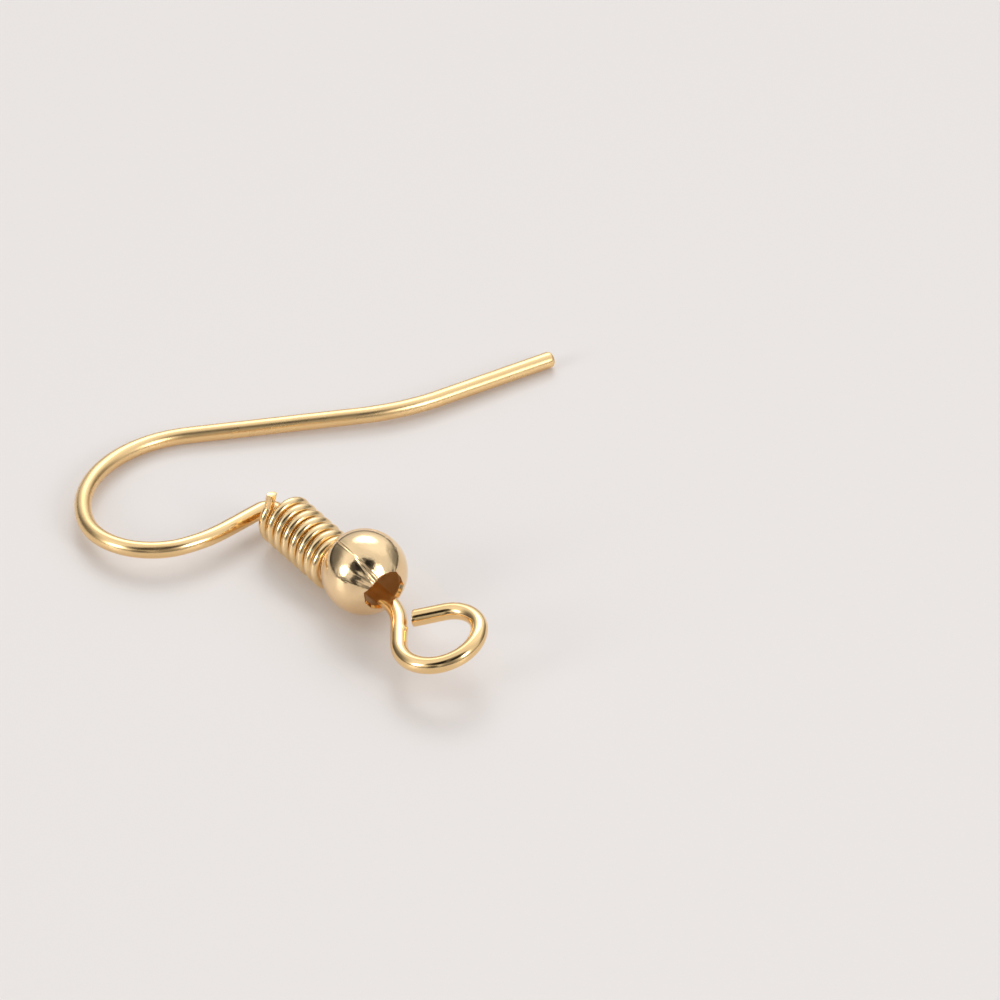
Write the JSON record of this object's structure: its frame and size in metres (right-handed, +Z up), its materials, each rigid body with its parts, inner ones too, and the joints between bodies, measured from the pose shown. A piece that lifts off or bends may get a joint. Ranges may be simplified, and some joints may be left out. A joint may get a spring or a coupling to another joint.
{
  "type": "ear wire",
  "caption": "Fish-hook ear wire of gold-toned round wire, lying flat, with a loose wire coil and a loose hollow bead on its core, and an eye loop to hang a drop from.",
  "frame": {"origin": "on the table, below the middle of the part's bounding box", "axes": "+Z up from the table, +X along the straight leg towards the tip, +Y from the eye loop towards the leg"},
  "size_m": [0.018, 0.0183, 0.003],
  "materials": {
    "hook_wire": "polished gold plating over brass wire",
    "coil_wire": "polished gold plating over thin brass wire",
    "bead_shell": "polished pale gold plating over rolled brass sheet"
  },
  "bodies": {
    "hook": {"ear_hook": "hook_wire"},
    "coil": {"coil": "coil_wire"},
    "bead": {"bead": "bead_shell"}
  },
  "joints": [
    {"name": "coil_spin", "type": "hinge", "parent": "hook", "child": "coil", "pos_m": [-0.00128, -0.00092, 0.001], "axis": [0.4437, -0.8962, 0], "continuous": true},
    {"name": "bead_spin", "type": "hinge", "parent": "hook", "child": "bead", "pos_m": [0.00021, -0.00352, 0.0015], "axis": [0.4174, -0.9056, 0.0752], "continuous": true}
  ]
}
